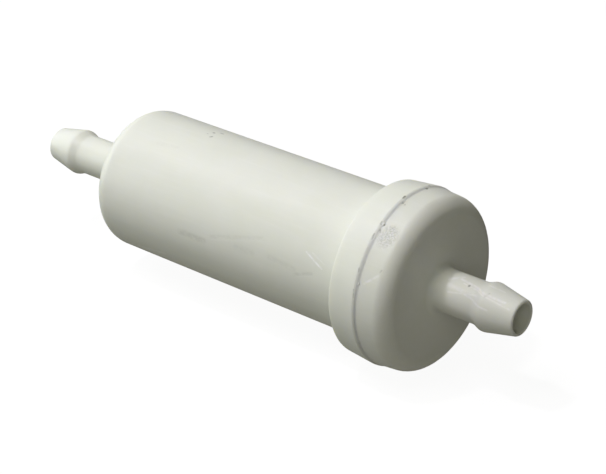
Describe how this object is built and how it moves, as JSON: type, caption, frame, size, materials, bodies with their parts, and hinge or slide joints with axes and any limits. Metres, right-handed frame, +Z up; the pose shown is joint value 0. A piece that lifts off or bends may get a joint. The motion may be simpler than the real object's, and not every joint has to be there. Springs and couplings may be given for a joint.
{
  "type": "in-line fuel filter",
  "caption": "Small in-line fuel filter: milky plastic canister with a welded end cap and a barbed hose nipple at each end, around a pleated paper element.",
  "frame": {"origin": "middle of the whole length, on the flow axis", "axes": "+X along the flow axis from the inlet nipple to the outlet nipple, +Z up"},
  "size_m": [0.1004, 0.0302, 0.0302],
  "materials": {
    "housing": "satin milky natural plastic",
    "weld": "rough weld flash of the same plastic",
    "moulded": "satin black moulded plastic",
    "screen": "fine nylon mesh",
    "paper": "resin-treated filter paper",
    "adhesive": "cured amber adhesive",
    "seal": "black nitrile rubber"
  },
  "bodies": {
    "root": {"body_shell": "housing", "end_cap": "housing", "weld_flash": "weld", "core_tube": "moulded", "core_screen": "screen", "pleated_media": "paper", "media_seam_bead": "adhesive", "closed_end_disc": "moulded", "closed_end_potting": "adhesive", "open_end_disc": "moulded", "open_end_potting": "adhesive", "outlet_seal": "seal"}
  },
  "joints": []
}
